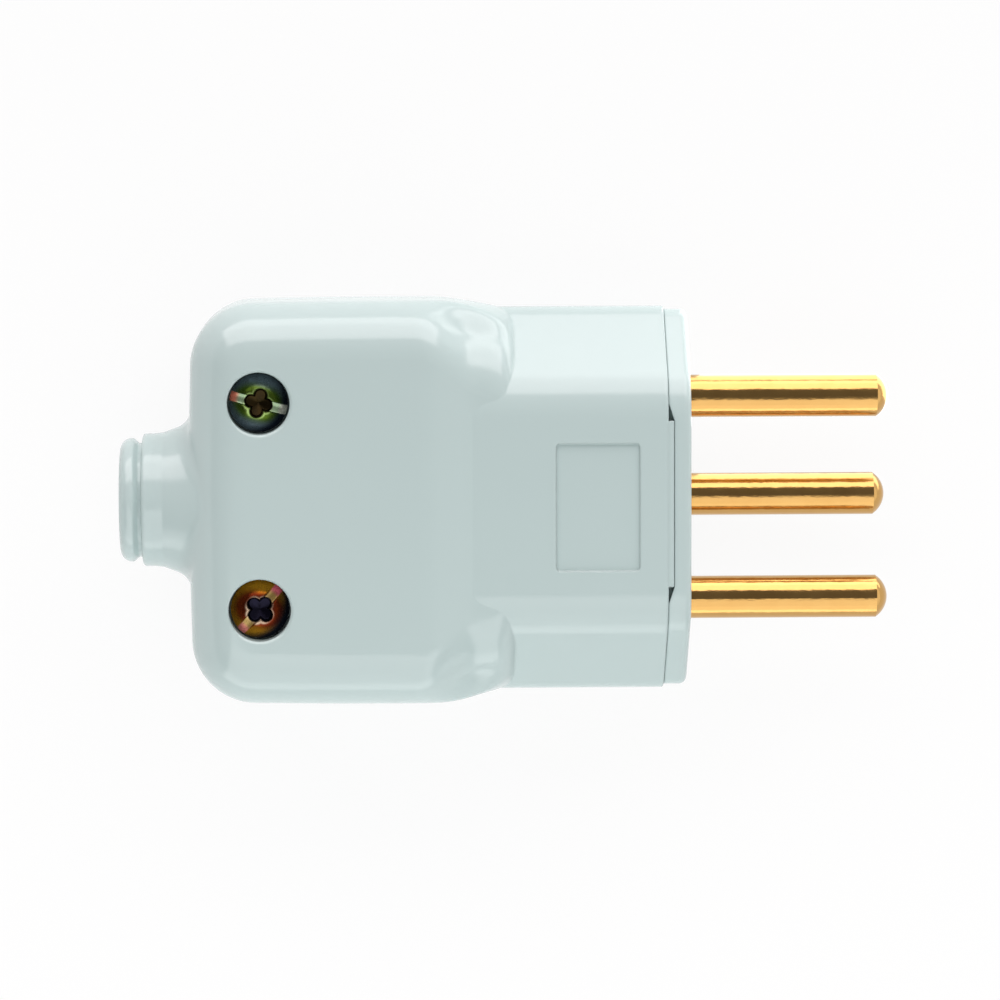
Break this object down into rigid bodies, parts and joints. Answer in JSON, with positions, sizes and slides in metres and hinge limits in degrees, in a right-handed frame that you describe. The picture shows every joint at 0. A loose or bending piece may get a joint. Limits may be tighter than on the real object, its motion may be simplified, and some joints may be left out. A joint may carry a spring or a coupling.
{
  "type": "three-pin plug",
  "caption": "Rewirable mains plug: a screwed clamshell housing with a hexagonal nose, round brass pins on a moulded plate and a beaded cable neck.",
  "frame": {"origin": "centre of the pin face, midway between the line and neutral pins", "axes": "+X out along the pins, +Y from the neutral pin to the line pin, +Z out of the shell that shows the body screws"},
  "size_m": [0.0721, 0.0376, 0.0192],
  "materials": {
    "housing": "glossy pale grey moulding with a slight green tint",
    "pin": "turned and polished",
    "screw": "steel with a yellow passivated plating"
  },
  "bodies": {
    "root": {"upper_shell": "housing", "lower_shell": "housing", "front_plate": "housing", "line_pin": "pin", "neutral_pin": "pin", "earth_pin": "pin", "terminal_screws": "screw", "body_screws": "screw", "body_nuts": "screw"}
  },
  "joints": []
}
